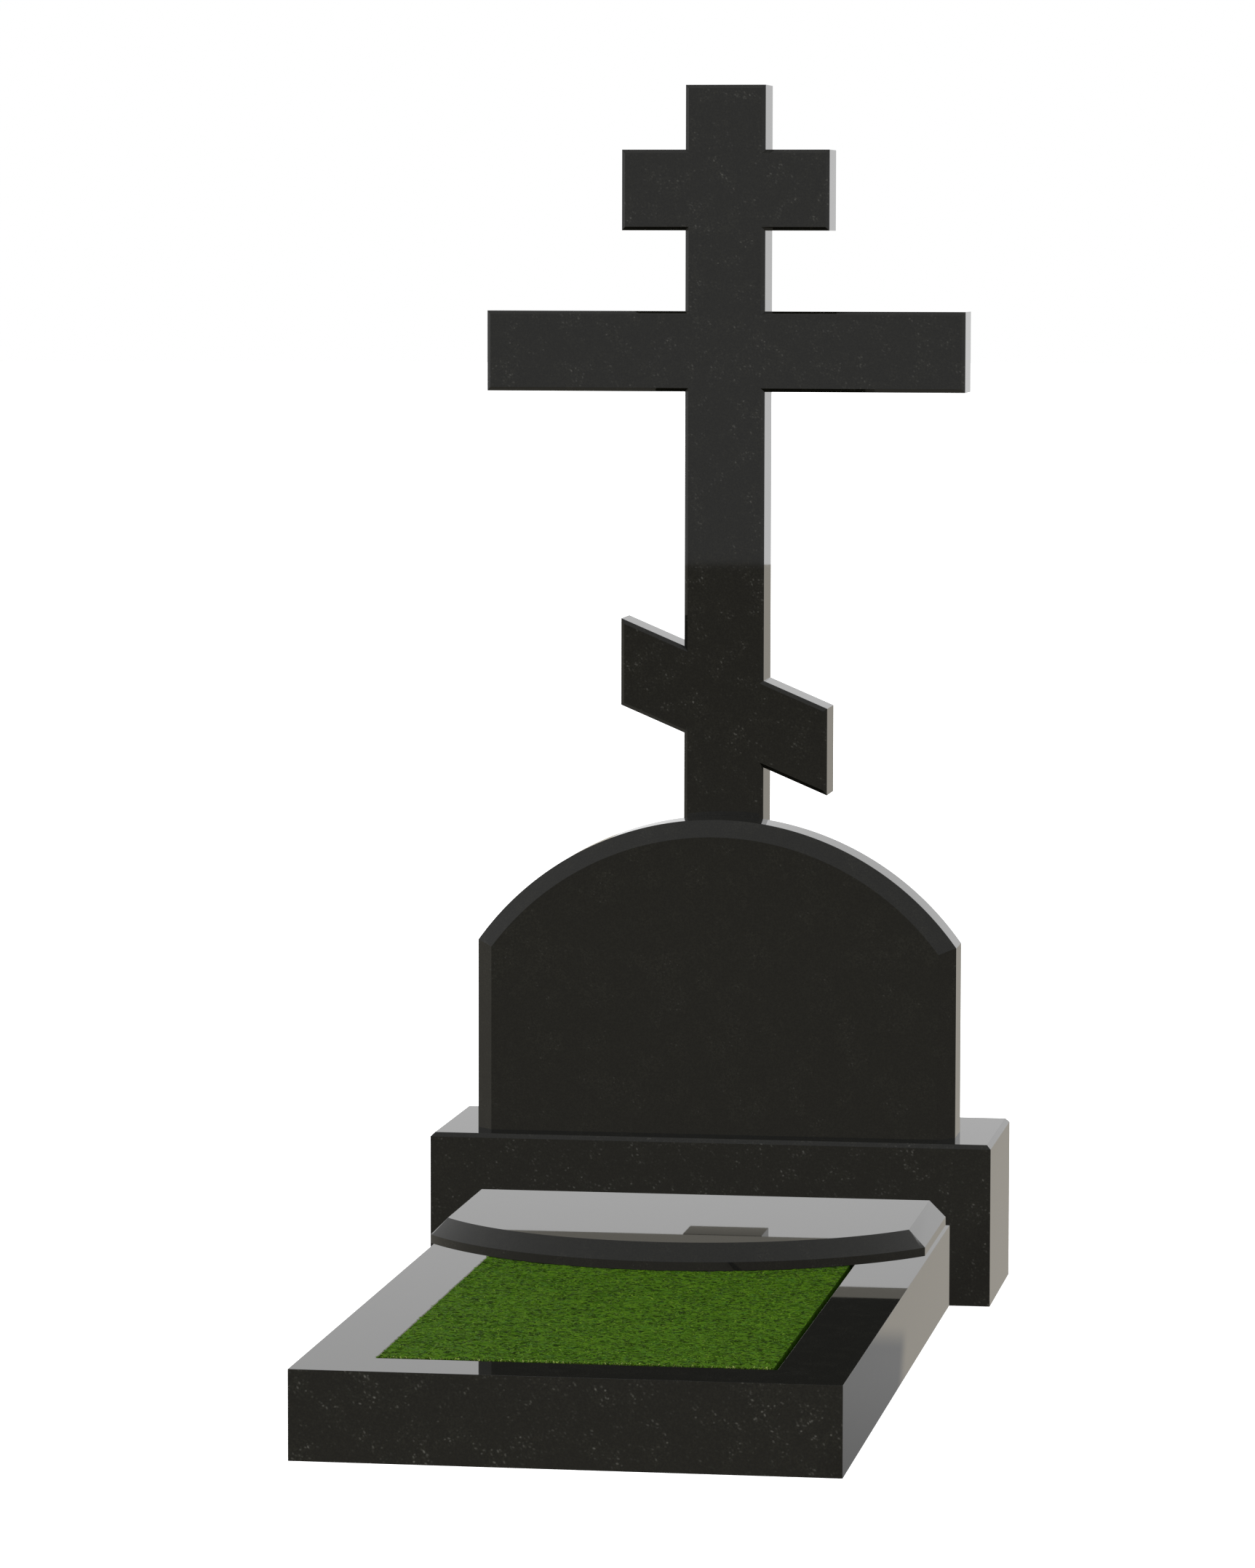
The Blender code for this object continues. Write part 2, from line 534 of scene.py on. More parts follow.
@dataclass(frozen=True)
class TurfSoil:
    """Dark soil and moss between the roots.

    Attributes:
        moss: Size of the mossy patches.
        crumb: Size of a crumb.
        crumb_height: Height of a crumb.
    """

    moss: float = 0.006
    crumb: float = 0.0018
    crumb_height: float = 0.002

    def material(self) -> bpy.types.Material:
        """Build the material.

        Returns:
            The material.
        """
        board = Board("turf_soil")
        place = board.shape_coordinates()
        moss = board.fade(board.cloud(place, self.moss, 6.0), 0.38, 0.62)
        crumbs = board.cloud(place, self.crumb, 4.0)
        earth = board.blend(crumbs, opaque(0.014, 0.036, 0.003), opaque(0.036, 0.070, 0.006))
        green = board.blend(crumbs, opaque(0.026, 0.080, 0.005), opaque(0.052, 0.130, 0.009))
        relief = {"Strength": 0.6, "Distance": self.crumb_height, "Height": crumbs}
        bump = board.add("ShaderNodeBump", {}, relief)
        return board.finish(
            Base_Color=board.blend(moss, earth, green),
            Roughness=0.92,
            Specular_IOR_Level=0.0,
            Normal=bump,
        )


@dataclass(frozen=True)
class FloorPaint:
    """Matt white paint of the studio's floor.

    Attributes:
        glow: Light of its own, which keeps shade on it thin.
        waver: Depth of its faint cloudiness.
        cloud: Size of the clouds.
    """

    glow: float = 0.75
    waver: float = 0.05
    cloud: float = 0.8

    def material(self) -> bpy.types.Material:
        """Build the material.

        Returns:
            The material.
        """
        board = Board("floor_paint")
        cloud = board.cloud(board.shape_coordinates(), self.cloud) * self.waver
        return board.finish(
            Base_Color=board.blend(cloud, opaque(0.98, 0.98, 0.98), opaque(0.90, 0.90, 0.90)),
            Roughness=0.9,
            Specular_IOR_Level=0.0,
            Emission_Color=opaque(1.0, 1.0, 1.0),
            Emission_Strength=self.glow,
        )


@dataclass(frozen=True)
class GroundGlow:
    """Warm grey ground as the polish mirrors it, glowing evenly, with painted grey shade beside the kerb
    and painted brighter light before its front.

    Attributes:
        kerb_side: Where the kerb's right side stands.
        kerb_front: Where its front stands.
        spread: How far the painted shade reaches out from the kerb, for each metre from its front.
        outer: Where its outer edge begins and ends to fade, counted from there.
        slant: How far its inner edge leaves the kerb, for each metre towards the back.
        inner: Where its inner edge begins and ends to fade, counted from there.
        lead: How far before the kerb's front it begins.
        back: From the kerb's front to where it begins and ends to fade towards the back.
        slack: How far it runs under the kerb.
        bright: How far before the kerb's front the painted brighter light on the ground begins and ends to
            fade.
        bright_edge: Width of the edge of that painted light at the kerb's side.
    """

    kerb_side: float
    kerb_front: float
    spread: float = 0.1185
    outer: tuple[float, float] = (0.012, 0.026)
    slant: float = 0.098
    inner: tuple[float, float] = (0.006, 0.016)
    lead: float = 0.05
    back: tuple[float, float] = (0.78, 0.97)
    slack: float = 0.001
    bright: tuple[float, float] = (2.0, 9.0)
    bright_edge: float = 0.05

    def material(self) -> bpy.types.Material:
        """Build the material.

        Returns:
            The material.
        """
        board = Board("ground_glow")
        place = board.add("ShaderNodeSeparateXYZ", {}, {"Vector": board.shape_coordinates()})
        along = place.twin("Y")
        side, front = self.kerb_side, self.kerb_front
        # Painted shade: a grey contact shadow on the ground beside the kerb's right side, which the
        # polished kerb mirrors, darker towards the kerb's front.
        rim = side - front * self.spread
        beside = board.fade(place - along * self.spread, rim + self.outer[1], rim + self.outer[0])
        beside = beside * (place > side - self.slack)
        away = board.fade(place - along * self.slant, side + self.inner[0], side + self.inner[1])
        behind_front = board.fade(along, front - self.lead, front)
        near_front = board.fade(along, front + self.back[1], front + self.back[0])
        shade = beside * away * behind_front * near_front
        depth = board.fade(along, front - 2.0 * self.lead, front + self.back[0])
        grey = board.blend(depth, opaque(0.25, 0.25, 0.25), opaque(0.32, 0.32, 0.32))
        # Painted light: the ground just before the kerb's front, up to the kerb's side, is painted
        # brighter.
        before = board.fade(place, side, side - self.bright_edge)
        before = before * board.fade(along, front - self.bright[1], front - self.bright[0])
        warm = board.blend(before, opaque(0.53, 0.50, 0.445), opaque(0.63, 0.60, 0.53))
        colour = board.blend(shade, warm, grey)
        return board.finish(
            Base_Color=opaque(0.0, 0.0, 0.0),
            Specular_IOR_Level=0.0,
            Emission_Color=colour,
            Emission_Strength=1.0,
        )


# Stones


@dataclass
class Stone:
    """One stone of the monument, modelled over the solid that it stands for.

    Attributes:
        node: Name of the solid.
        finish: The granite of this stone.
        arris: Width of the rubbed arris along its sharp edges.
        mirrored: Whether other polished faces show this stone.
        joint: Where along Y it butts against the next bar, with close edges; without one, None.
        bedding: How far it reaches below its solid, to close the fitting gap under it.
    """

    node: str
    finish: PolishedGranite
    arris: float = 0.0002
    mirrored: bool = False
    joint: float | None = None
    bedding: float = 0.0

    @property
    def low(self) -> Vector:
        """Lowest corner of the stone, drawn forward to the joint if it stands behind one.

        Returns:
            The corner.
        """
        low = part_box(self.node)[0] - Vector((0.0, 0.0, self.bedding))
        if self.joint is not None:
            low.y = min(low.y, self.joint)
        return low

    @property
    def high(self) -> Vector:
        """Highest corner of the stone."""
        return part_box(self.node)[1]

    def carve(self) -> bpy.types.Object:
        """Model the stone with sharp edges: a plain sawn bar, unless a stone says otherwise."""
        return start_block(f"{self.node}_stone", self.low, self.high)

    def build(self) -> bpy.types.Object:
        """Model the stone, rub its arrises, polish it and put it in place of its solid.

        Returns:
            The finished piece.
        """
        piece = self.carve()
        self.rub_arrises(piece)
        upright = piece.data.attributes.new(UPRIGHT, "FLOAT", "FACE")
        for face in piece.data.polygons:
            upright.data[face.index].value = 1.0 - abs(face.normal.z)
        piece.data.materials.clear()
        piece.data.materials.append(self.finish.material(f"{self.node}_granite"))
        piece.visible_glossy = self.mirrored
        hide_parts(self.node)
        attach(piece, BODY)
        LOG.info("%s: %d faces", piece.name, len(piece.data.polygons))
        return piece

    def rub_arrises(self, piece: bpy.types.Object) -> None:
        """Round the sharp edges a little and keep the flats flat in their shading.

        Args:
            piece: The carved stone.
        """
        contacts = [lies_on(2, self.low.z)]
        if self.joint is not None:
            contacts.append(lies_on(1, self.joint))

        def rubbed(edge: bmesh.types.BMEdge) -> bool:
            """Whether an edge is sharp and clear of the seat and of the joint."""
            return edge.calc_face_angle(0.0) > ARRIS_ANGLE and not any(meets(edge) for meets in contacts)

        with editing(piece):
            pick(piece, Pick.EDGES, rubbed)
            bpy.ops.mesh.bevel(offset=self.arris, segments=2, affect="EDGES")
        bpy.ops.object.shade_smooth_by_angle(angle=HARD_ANGLE)
        apply_modifier(piece, "WEIGHTED_NORMAL", mode="FACE_AREA", weight=100, keep_sharp=True)


@dataclass
class Plinth(Stone):
    """The block that carries stele and cross, chamfered round its top.

    Attributes:
        chamfer: Width of the chamfer.
    """

    chamfer: float = 0.005

    def carve(self) -> bpy.types.Object:
        """Cut the block and its chamfer.

        Returns:
            The block with sharp edges.
        """
        piece = super().carve()
        with editing(piece):
            pick(piece, Pick.EDGES, lies_on(2, self.high.z))
            bpy.ops.mesh.bevel(offset=self.chamfer, segments=1, affect="EDGES")
        return piece


@dataclass
class ArchedSlab(Stone):
    """A slab with two straight sides that one arc joins, chamfered along sides and arc.

    Attributes:
        rise: Height of the arc over the shoulders.
        chamfer: Width of the chamfer.
        upright: Whether it stands with its arc on top, or lies with its arc to the viewer.
    """

    bedding: float = 0.0003
    rise: float = 0.155
    chamfer: float = 0.020
    upright: bool = True

    def carve(self) -> bpy.types.Object:
        """Turn a chamfered disc, thicken it, and saw the seat, the sides and their chamfers.

        Returns:
            The slab with sharp edges.
        """
        low, high = self.low, self.high
        middle = (low + high) / 2.0
        half = (high.x - low.x) / 2.0
        radius = (half * half + self.rise * self.rise) / (2.0 * self.rise)
        if self.upright:
            centre = Vector((middle.x, low.y, high.z - radius))
            seat, away = low, (0.0, 0.0, -1.0)
            back = lies_on(1, low.y + self.chamfer)
            thicken = (0.0, high.y - low.y - self.chamfer, 0.0)
            outward = Vector((0.0, -1.0, 0.0))
        else:
            centre = Vector((middle.x, low.y + radius, high.z))
            seat, away = high, (0.0, 1.0, 0.0)
            back = lies_on(2, high.z - self.chamfer)
            thicken = (0.0, 0.0, low.z - high.z + self.chamfer)
            outward = Vector((0.0, 0.0, 1.0))
        piece = start_chamfered_disc(f"{self.node}_slab", centre, radius, self.chamfer, self.upright)
        with editing(piece):
            pick(piece, Pick.FACES, back)
            bpy.ops.mesh.extrude_region_move(TRANSFORM_OT_translate={"value": thicken})
            saw(seat, away)
            for side in (-1.0, 1.0):
                edge = Vector((middle.x + side * half, centre.y, centre.z))
                saw(edge, (side, 0.0, 0.0))
                saw(edge - Vector((side * self.chamfer, 0.0, 0.0)), outward + Vector((side, 0.0, 0.0)))
            bpy.ops.mesh.select_all(action="SELECT")
            bpy.ops.mesh.normals_make_consistent(inside=False)
        return piece


@dataclass
class Cross(Stone):
    """The three-bar cross, cut from one slab.

    Attributes:
        stem: Width of the stem.
        bar: Height of the two level bars.
        head: How far the stem stands above the top bar.
        gap: Clear height between the two level bars.
        top_bar: Length of the top bar.
        footrest: Length of the slanted bar.
        footrest_thickness: Its thickness, square to its slope.
        footrest_drop: From the main bar's foot down to the middle of the footrest.
        tilt: Slope of the footrest, high at the viewer's left.
        chamfer: Fine chamfer along the front edges.
    """

    bedding: float = 0.0003
    stem: float = 0.100
    bar: float = 0.100
    head: float = 0.080
    gap: float = 0.100
    top_bar: float = 0.260
    footrest: float = 0.260
    footrest_thickness: float = 0.100
    footrest_drop: float = 0.393
    tilt: float = math.radians(23.0)
    chamfer: float = 0.0045

    def carve(self) -> bpy.types.Object:
        """Draw the bars out of the stem and chamfer the front.

        Returns:
            The cross with sharp edges.
        """
        low, high = self.low, self.high
        middle = (low + high) / 2.0
        half_stem = self.stem / 2.0
        foot_left, head_right = Vector((-half_stem, low.y, low.z)), Vector((half_stem, high.y, high.z))
        piece = start_block("cross_slab", foot_left, head_right)
        top = high.z - self.head
        main = top - self.bar - self.gap
        rest = main - self.bar - self.footrest_drop
        half_cut = self.footrest_thickness / math.cos(self.tilt) / 2.0
        slant = (math.sin(self.tilt), 0.0, math.cos(self.tilt))
        with editing(piece):
            for level in (top, top - self.bar, main, main - self.bar):
                saw((0.0, middle.y, level), (0.0, 0.0, 1.0), part=False)
            for cut in (half_cut, -half_cut):
                saw((0.0, middle.y, rest + cut), slant, part=False)
            for side in (-1.0, 1.0):
                for level, length in ((top, self.top_bar), (main, high.x - low.x)):
                    arm = (side * (length / 2.0 - half_stem), 0.0, 0.0)
                    self._draw_arm(piece, side, level - self.bar, level, arm)
                reach = side * (self.footrest / 2.0 - half_stem)
                foot = rest - side * half_stem * math.tan(self.tilt)
                arm = (reach, 0.0, -reach * math.tan(self.tilt))
                self._draw_arm(piece, side, foot - half_cut, foot + half_cut, arm)
            bpy.ops.mesh.select_all(action="SELECT")
            bpy.ops.mesh.dissolve_limited(angle_limit=FLAT_ANGLE)
            pick(piece, Pick.EDGES, lies_on(1, low.y))
            bpy.ops.mesh.bevel(offset=self.chamfer, segments=1, affect="EDGES")
        return piece

    def _draw_arm(self, piece: bpy.types.Object, side: float, foot: float, top: float, arm: tuple) -> None:
        """Extrude the part of the stem's side between two levels.

        Args:
            piece: The cross in edit mode.
            side: 1 for the viewer's right and -1 for the left.
            foot: Lower level.
            top: Upper level.
            arm: How far, and which way, the arm runs.
        """
        on_side = lies_on(0, side * self.stem / 2.0)

        def wanted(face: bmesh.types.BMFace) -> bool:
            """Whether a face is the stretch of the stem's side that this arm grows from."""
            return on_side(face) and foot < face.calc_center_median().z < top

        pick(piece, Pick.FACES, wanted)
        bpy.ops.mesh.extrude_region_move(TRANSFORM_OT_translate={"value": arm})


# Turf


class BladeMark(Enum):
    """Attributes that the blades carry for their colour."""

    TONE = "blade_tone"
    REACH = "blade_reach"


@dataclass(frozen=True)
class Growth:
    """One sowing of grass.

    Attributes:
        name: Name of the piece.
        seed: Seed of its random draws.
        blades: How many blades are sown.
        length: Shortest and longest blade.
        width: Narrowest and widest blade.
        lift: Flattest and steepest rise of a blade, in degrees.
        tone: Darkest and lightest blade, from 0 to 1.
        crown: How high its tips may stand over the top of the solid.
        strip: Depth of the sown strip along the front, or none for the whole bed.
    """

    name: str
    seed: int
    blades: int
    length: tuple[float, float]
    width: tuple[float, float]
    lift: tuple[float, float]
    tone: tuple[float, float]
    crown: float = 0.0036
    strip: float | None = None


@dataclass
class TurfBed:
    """Soil inside the kerb with grass on it, short and matted as after mowing.

    Attributes:
        node: Name of the solid.
        ledger: Name of the slab that covers the back of the bed.
        ledger_rise: How far the slab's front bows out from its corners.
        soil_lift: How far the soil lies over the top of the solid.
        soil_spacing: Distance between the corners of the soil's top.
        lumps: How many lumps of soil there are to a metre.
        lump_height: Height of a lump.
        shoulder: How far under the top loose soil fills the gap between turf and kerb.
        clearance: What is left open between the soil and the kerb.
        root_depth: How deep in the soil a root may lie.
        root_reach: How far under the ledger grass still grows.
        sag: Least and greatest droop of a tip, as a share of its rise.
        roll: How far a blade may turn about its own length, in radians.
        drop: How far under the soil's top a tip may point.
        pressed: How far before the ledger's front the blades already lie flat.
        standing: Height over the solid from which tips may reach over the kerb.
        overhang: How far they may reach over it.
        right_overhang: The same over the gap at the viewer's right.
        sowings: The layers of grass, from the matted thatch up to the single light tips.
    """

    node: str
    ledger: str
    ledger_rise: float = 0.155
    soil_lift: float = 0.0005
    soil_spacing: float = 0.006
    lumps: float = 60.0
    lump_height: float = 0.0005
    shoulder: float = 0.014
    clearance: float = 0.0002
    root_depth: float = 0.001
    root_reach: float = 0.010
    sag: tuple[float, float] = (0.15, 0.75)
    roll: float = 0.5
    drop: float = 0.002
    pressed: float = 0.002
    standing: float = 0.0012
    overhang: float = 0.0024
    right_overhang: float = 0.0005
    sowings: tuple[Growth, ...] = field(
        default=(
            Growth("turf_thatch", 11, 55000, (0.006, 0.011), (0.0024, 0.0042), (1.0, 7.0), (0.32, 0.56)),
            Growth("turf_grass", 23, 60000, (0.006, 0.012), (0.0017, 0.0032), (3.0, 14.0), (0.34, 0.64)),
            Growth("turf_tips", 37, 18000, (0.004, 0.008), (0.0009, 0.0016), (8.0, 26.0), (0.45, 0.90)),
            Growth(
                "turf_fringe", 53, 1100, (0.006, 0.009), (0.0010, 0.0018), (50.0, 80.0), (0.30, 1.05),
                crown=0.0058, strip=0.0012,
            ),
        )
    )

    def build(self) -> list[bpy.types.Object]:
        """Lay the soil and grow the grass.

        Returns:
            The soil and the sowings, in place of the solid.
        """
        soil = self.lay_soil()
        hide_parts(self.node)
        leaf = GrassLeaf().material()
        template = self.shape_blade()
        pieces = [soil]
        for growth in self.sowings:
            pieces.append(self.grow(growth, template, leaf))
        for piece in pieces:
            piece.visible_glossy = False
            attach(piece, BODY)
            LOG.info("%s: %d faces", piece.name, len(piece.data.polygons))
        return pieces

    def lay_soil(self) -> bpy.types.Object:
        """Model the soil as a closed block with an uneven top.

        Returns:
            The soil.
        """
        low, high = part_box(self.node)
        size = high - low
        bpy.ops.object.select_all(action="DESELECT")
        bpy.ops.mesh.primitive_grid_add(
            x_subdivisions=round(size.x / self.soil_spacing),
            y_subdivisions=round(size.y / self.soil_spacing),
            size=1.0,
            location=((low.x + high.x) / 2.0, (low.y + high.y) / 2.0, high.z + self.soil_lift),
        )
        bpy.context.active_object.scale = (size.x, size.y, 1.0)
        soil = settle("turf_soil")
        for vert in soil.data.vertices:
            vert.co.z += self.lump_height * noise.fractal(vert.co * self.lumps, 1.0, 2.0, 3)
        with editing(soil):
            bpy.ops.mesh.select_mode(type="EDGE")
            bpy.ops.mesh.region_to_loop()
            bpy.ops.mesh.extrude_edges_move()
            bpy.ops.transform.resize(value=(1.0, 1.0, 0.0), center_override=(0.0, 0.0, low.z))
            bpy.ops.mesh.edge_face_add()
            self.fill_gaps(soil)
            bpy.ops.mesh.select_all(action="SELECT")
            bpy.ops.mesh.normals_make_consistent(inside=False)
        take_up(soil)
        bpy.ops.object.shade_smooth_by_angle(angle=CRUMB_ANGLE)
        soil.data.materials.append(TurfSoil().material())
        return soil

    def fill_gaps(self, soil: bpy.types.Object) -> None:
        """Draw the lower part of the soil out to the kerb.

        Args:
            soil: The closed soil in edit mode.
        """
        low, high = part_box(self.node)
        level = high.z - self.shoulder
        saw((0.0, 0.0, level), (0.0, 0.0, 1.0), part=False)
        gaps = (
            (0, high.x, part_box("kerb_right")[0].x - high.x - self.clearance),
            (0, low.x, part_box("kerb_left")[1].x - low.x + self.clearance),
            (1, low.y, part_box("kerb_front")[1].y - low.y + self.clearance),
        )
        for axis, side, reach in gaps:
            on_side = lies_on(axis, side)
            pick(soil, Pick.FACES, lambda face: on_side(face) and face.calc_center_median().z < level)
            way = Vector((0.0, 0.0, 0.0))
            way[axis] = reach
            bpy.ops.mesh.extrude_region_move(TRANSFORM_OT_translate={"value": way})

    @staticmethod
    def shape_blade() -> tuple[np.ndarray, np.ndarray]:
        """Model one blade of unit length and width, tapered to a point.

        Returns:
            Its corners as (across, along), and its triangles.
        """
        bpy.ops.object.select_all(action="DESELECT")
        bpy.ops.mesh.primitive_grid_add(
            x_subdivisions=1, y_subdivisions=2, size=1.0, location=(0.0, 0.5, 0.0)
        )
        blade = settle("blade")
        with editing(blade):
            for along, taper in ((0.0, 0.75), (0.5, 0.90)):
                pick(blade, Pick.EDGES, lies_on(1, along))
                bpy.ops.transform.resize(value=(taper, 1.0, 1.0), center_override=(0.0, along, 0.0))
            pick(blade, Pick.EDGES, lies_on(1, 1.0))
            bpy.ops.mesh.merge(type="CENTER")
            bpy.ops.mesh.select_all(action="SELECT")
            bpy.ops.mesh.quads_convert_to_tris()
        corners = np.array([vert.co[:2] for vert in blade.data.vertices])
        triangles = np.array([list(face.vertices) for face in blade.data.polygons])
        bpy.data.meshes.remove(blade.data)
        return corners, triangles

    def grow(self, growth: Growth, template: tuple, leaf: bpy.types.Material) -> bpy.types.Object:
        """Sow one layer of grass and join its blades in one mesh.

        Args:
            growth: What is sown.
            template: Corners and triangles of one blade.
            leaf: Material of the blades.

        Returns:
            The grass.
        """
        draw = np.random.default_rng(growth.seed)
        low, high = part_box(self.node)
        far = high.y if growth.strip is None else low.y + growth.strip
        roots = np.column_stack(
            (
                draw.uniform(low.x, high.x, growth.blades),
                draw.uniform(low.y, far, growth.blades),
                high.z + self.soil_lift - draw.uniform(0.0, self.root_depth, growth.blades),
            )
        )
        roots = roots[roots[:, 1] < self.ledger_front(roots[:, 0]) + self.root_reach]
        count = len(roots)
        corners, triangles = template
        across, along = corners[:, 0], corners[:, 1]
        heading = draw.uniform(0.0, 2.0 * math.pi, count)
        length = draw.uniform(*growth.length, count)
        width = draw.uniform(*growth.width, count)
        lift = np.radians(draw.uniform(*growth.lift, count))
        sag = draw.uniform(*self.sag, count) * np.sin(lift)
        roll = draw.uniform(-self.roll, self.roll, count)
        run = np.column_stack((np.cos(heading), np.sin(heading), np.zeros(count)))
        level = np.cos(roll)
        side = np.column_stack((-np.sin(heading) * level, np.cos(heading) * level, np.sin(roll)))
        forward = (length * np.cos(lift))[:, None] * along
        upward = length[:, None] * (np.sin(lift)[:, None] * along - sag[:, None] * along**2)
        points = (
            roots[:, None, :]
            + run[:, None, :] * forward[:, :, None]
            - side[:, None, :] * (width[:, None] * across)[:, :, None]
        )
        points[:, :, 2] += upward
        self.trim(points, high.z, growth.crown)
        faces = (triangles[None, :, :] + len(across) * np.arange(count)[:, None, None]).reshape(-1, 3)
        mesh = bpy.data.meshes.new(growth.name)
        mesh.from_pydata(points.reshape(-1, 3), [], faces)
        self.mark(mesh, BladeMark.TONE, np.repeat(draw.uniform(*growth.tone, count), len(across)))
        self.mark(mesh, BladeMark.REACH, np.tile(along, count))
        mesh.materials.append(leaf)
        mesh.shade_smooth()
        grass = bpy.data.objects.new(growth.name, mesh)
        bpy.context.scene.collection.objects.link(grass)
        return grass

    def ledger_front(self, x: np.ndarray) -> np.ndarray:
        """Where the front of the ledger runs.

        Args:
            x: Places across the bed.

        Returns:
            The front's y at each place.
        """
        low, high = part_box(self.ledger)
        half = (high.x - low.x) / 2.0
        radius = (half * half + self.ledger_rise**2) / (2.0 * self.ledger_rise)
        offset = x - (low.x + high.x) / 2.0
        return low.y + radius - np.sqrt(radius * radius - offset * offset)

    def trim(self, points: np.ndarray, top: float, crown: float) -> None:
        """Keep the blades out of the stones and under the mower's height.

        Args:
            points: Corners of all blades, changed in place.
            top: Height of the solid's top.
            crown: How high tips may stand over it.
        """
        low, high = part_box(self.node)
        soil = top + self.soil_lift
        room = crown - self.soil_lift
        height = np.maximum(points[:, :, 2] - soil, -self.drop)
        points[:, :, 2] = soil + np.where(height > 0.0, room * (1.0 - np.exp(-height / room)), height)
        covered = points[:, :, 1] > self.ledger_front(points[:, :, 0]) - self.pressed
        points[:, :, 2] = np.where(covered, np.minimum(points[:, :, 2], top), points[:, :, 2])
        over = np.where(points[:, :, 2] > top + self.standing, self.overhang, 0.0)
        right = high.x + np.minimum(over, self.right_overhang)
        points[:, :, 0] = np.clip(points[:, :, 0], low.x - over, right)
        points[:, :, 1] = np.maximum(points[:, :, 1], low.y - over)

    @staticmethod
    def mark(mesh: bpy.types.Mesh, mark: BladeMark, values: np.ndarray) -> None:
        """Store one number for each corner.

        Args:
            mesh: The blades.
            mark: Which attribute.
            values: Its numbers.
        """
        layer = mesh.attributes.new(mark.value, "FLOAT", "POINT")
        layer.data.foreach_set("value", values.astype(np.float32))


# Studio


@dataclass(frozen=True)
class PhotoCamera:
    """The camera of the photograph.

    Attributes:
        place: Where it stands.
        turn: How far it looks to the left of straight ahead, in degrees.
        dip: How far it looks down, in degrees.
        roll: How far it leans, in degrees.
        lens: Focal length in millimetres.
        sensor: Long side of the sensor in millimetres.
        sight: How far it sees.
    """

    place: tuple[float, float, float] = (1.0782, -7.1967, 1.3083)
    turn: float = 8.805
    dip: float = 4.956
    roll: float = 0.107
    lens: float = 144.03
    sensor: float = 36.0
    sight: float = 500.0

    def build(self) -> bpy.types.Object:
        """Set the camera up and look through it.

        Returns:
            The camera.
        """
        camera = bpy.data.objects.new("photo_camera", bpy.data.cameras.new("photo_camera"))
        camera.data.lens = self.lens
        camera.data.sensor_width = self.sensor
        camera.data.sensor_fit = "AUTO"
        camera.data.clip_end = self.sight
        turned = Matrix.Rotation(math.radians(self.turn), 4, "Z")
        dipped = Matrix.Rotation(math.radians(90.0 - self.dip), 4, "X")
        leaned = Matrix.Rotation(math.radians(self.roll), 4, "Z")
        camera.matrix_world = Matrix.Translation(self.place) @ turned @ dipped @ leaned
        bpy.context.scene.collection.objects.link(camera)
        bpy.context.scene.camera = camera
        return camera


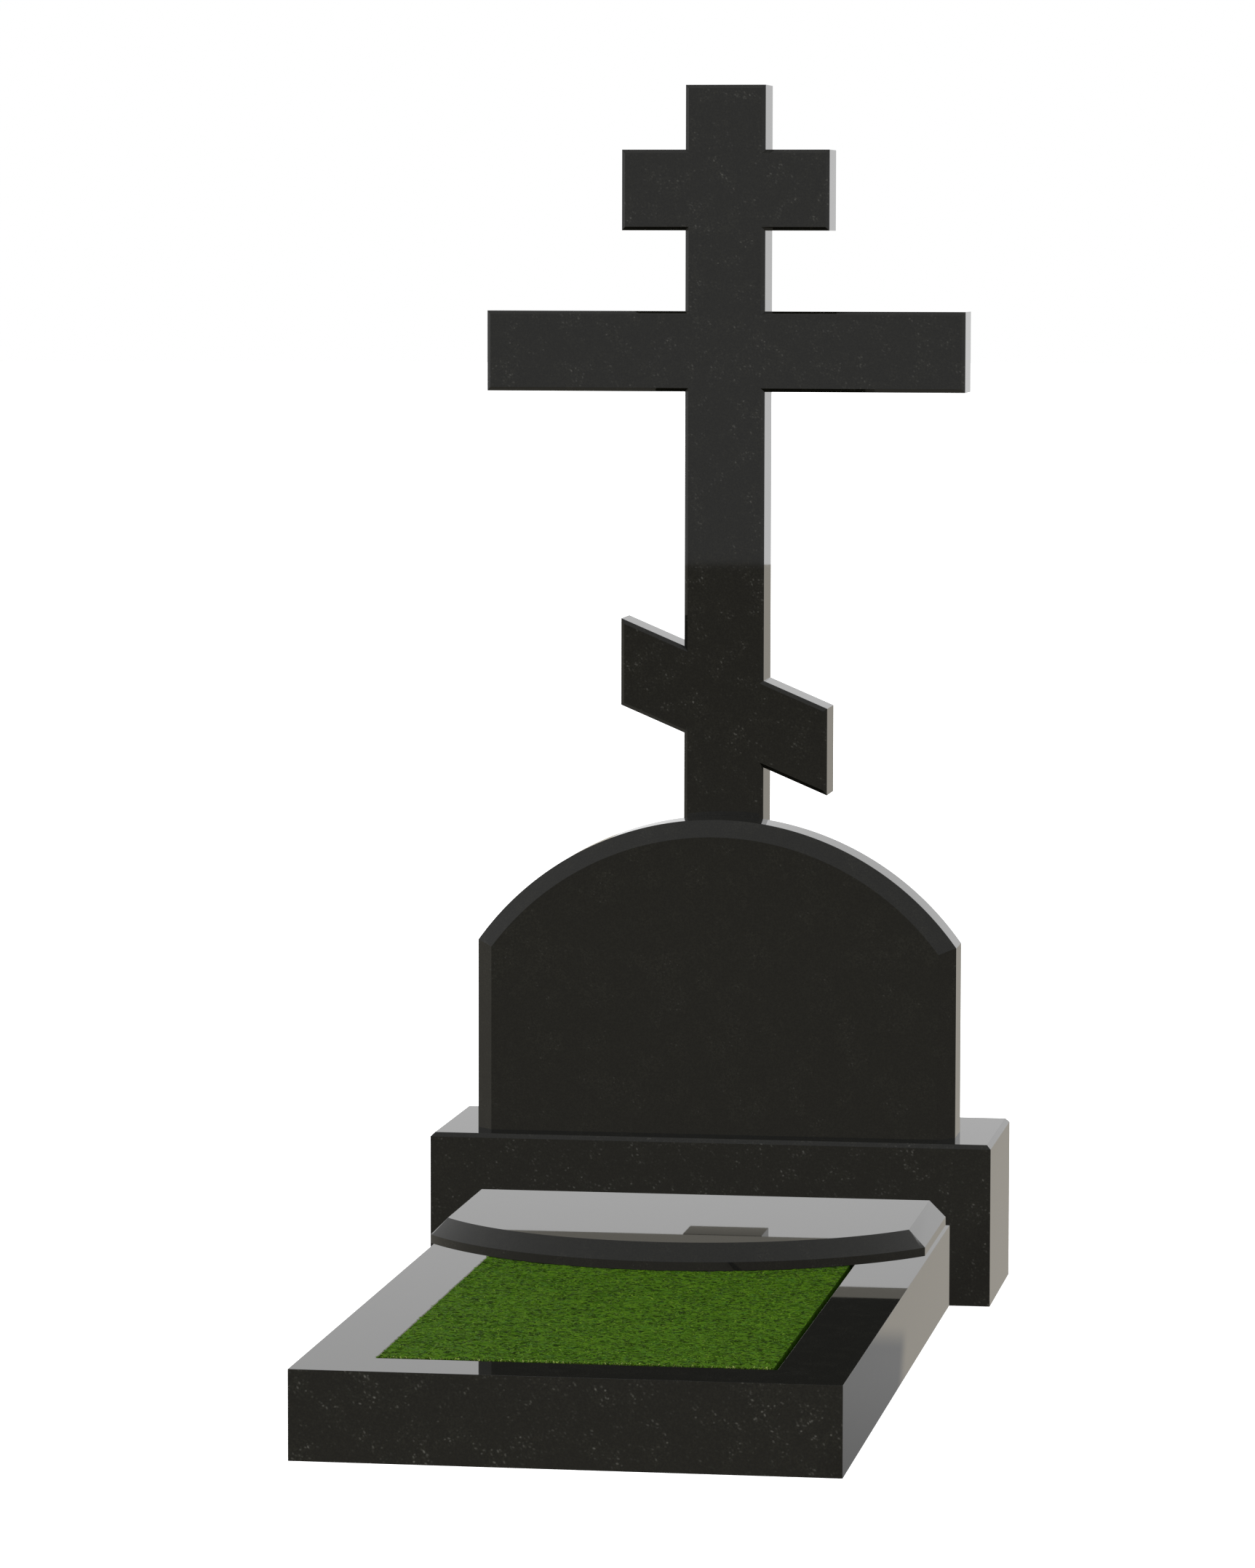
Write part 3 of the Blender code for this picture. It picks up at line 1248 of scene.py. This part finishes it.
@dataclass
class Studio:
    """White surroundings, a pale floor and the darker ground that the polished stone mirrors.

    Attributes:
        floor_radius: Reach of the pale floor.
        ground_radius: Reach of the mirrored ground.
        ground_shift: How far its middle lies behind the monument's.
        ground_sink: How far it lies under the floor, to keep the two apart.
        sky: Brightness of the surroundings near the horizon.
        ceiling: Their brightness overhead.
        dimming: Heights over the horizon between which they dim, in degrees.
        lamp_power: Power of the soft lamp overhead, in watts.
        lamp_width: Its diameter.
        lamp_place: Where it hangs.
        lamp_aim: Which way it points.
    """

    floor_radius: float = 60.0
    ground_radius: float = 17.6
    ground_shift: float = 0.55
    ground_sink: float = 0.0005
    sky: float = 1.0
    ceiling: float = 0.87
    dimming: tuple[float, float] = (3.0, 11.0)
    lamp_power: float = 60.0
    lamp_width: float = 3.5
    lamp_place: tuple[float, float, float] = (-1.6, -1.8, 4.2)
    lamp_aim: tuple[float, float, float] = (1.6, 1.8, -4.0)

    def build(self) -> None:
        """Set up the surroundings, the floors and the lamp."""
        self.paint_surroundings()
        middle = (0.0, 0.0, 0.0)
        floor = self.lay_floor("studio_floor", self.floor_radius, middle, FloorPaint().material())
        for kind in ("visible_diffuse", "visible_glossy", "visible_transmission", "visible_shadow"):
            setattr(floor, kind, False)
        low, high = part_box("kerb_front")
        glow = GroundGlow(kerb_side=high.x, kerb_front=low.y).material()
        behind = (0.0, self.ground_shift, -self.ground_sink)
        ground = self.lay_floor("mirrored_ground", self.ground_radius, behind, glow)
        ground.visible_camera = False
        self.hang_lamp()
        bpy.context.scene.view_settings.view_transform = "Standard"

    def paint_surroundings(self) -> None:
        """Make the world plain white, a little dimmer overhead than round the horizon."""
        world = bpy.data.worlds.new("studio_white")
        world.use_nodes = True
        nodes, links = world.node_tree.nodes, world.node_tree.links
        aim = nodes.new("ShaderNodeTexCoord")
        parts = nodes.new("ShaderNodeSeparateXYZ")
        ease = nodes.new("ShaderNodeMapRange")
        ease.interpolation_type = "SMOOTHSTEP"
        ease.inputs["From Min"].default_value = math.sin(math.radians(self.dimming[0]))
        ease.inputs["From Max"].default_value = math.sin(math.radians(self.dimming[1]))
        ease.inputs["To Min"].default_value = self.sky
        ease.inputs["To Max"].default_value = self.ceiling
        links.new(aim.outputs["Generated"], parts.inputs["Vector"])
        links.new(parts.outputs["Z"], ease.inputs["Value"])
        links.new(ease.outputs["Result"], nodes["Background"].inputs["Strength"])
        nodes["Background"].inputs["Color"].default_value = opaque(1.0, 1.0, 1.0)
        bpy.context.scene.world = world

    @staticmethod
    def lay_floor(name: str, radius: float, middle: tuple, paint: bpy.types.Material) -> bpy.types.Object:
        """Lay a round floor.

        Args:
            name: Its name.
            radius: Its radius.
            middle: Where its middle lies.
            paint: Its material.

        Returns:
            The floor.
        """
        bpy.ops.object.select_all(action="DESELECT")
        bpy.ops.mesh.primitive_circle_add(
            vertices=FLOOR_CORNERS, radius=radius, fill_type="NGON", location=middle
        )
        floor = settle(name)
        floor.data.materials.append(paint)
        return floor

    def hang_lamp(self) -> bpy.types.Object:
        """Hang a wide soft lamp over the monument, unseen in the polish.

        Returns:
            The lamp.
        """
        data = bpy.data.lights.new("soft_lamp", "AREA")
        data.shape = "DISK"
        data.size = self.lamp_width
        data.energy = self.lamp_power
        lamp = bpy.data.objects.new("soft_lamp", data)
        lamp.location = self.lamp_place
        lamp.rotation_euler = Vector(self.lamp_aim).to_track_quat("-Z", "Y").to_euler()
        lamp.visible_glossy = False
        bpy.context.scene.collection.objects.link(lamp)
        return lamp


def stones() -> list[Stone]:
    """List the stones of the monument, from the plinth to the ledger, each with its own granite.

    Returns:
        The stones, not yet built.
    """
    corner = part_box("kerb_front")[1].y
    return [
        Plinth("plinth", PolishedGranite((0.31, 0.12, 0.55), Figure.BROAD)),
        ArchedSlab("stele", PolishedGranite((1.27, 0.64, 0.18), Figure.QUIET), mirrored=True),
        Cross("cross", PolishedGranite((2.05, 1.33, 0.71), Figure.FINE), mirrored=True),
        Stone("kerb_front", PolishedGranite((3.42, 0.27, 1.16), Figure.BROAD), joint=corner),
        Stone("kerb_left", PolishedGranite((4.18, 2.09, 0.34), Figure.BROAD), joint=corner),
        Stone("kerb_right", PolishedGranite((5.63, 1.71, 0.92), Figure.BROAD), joint=corner),
        ArchedSlab("ledger", PolishedGranite((6.24, 0.88, 1.47), Figure.QUIET), upright=False),
    ]


def main() -> None:
    """Dress the frame and set up the studio."""
    logging.basicConfig(level=logging.INFO, format="%(name)s: %(message)s")
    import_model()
    PhotoCamera().build()
    for stone in stones():
        stone.build()
    TurfBed("turf_bed", "ledger").build()
    Studio().build()
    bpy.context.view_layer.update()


if __name__ == "__main__":
    main()
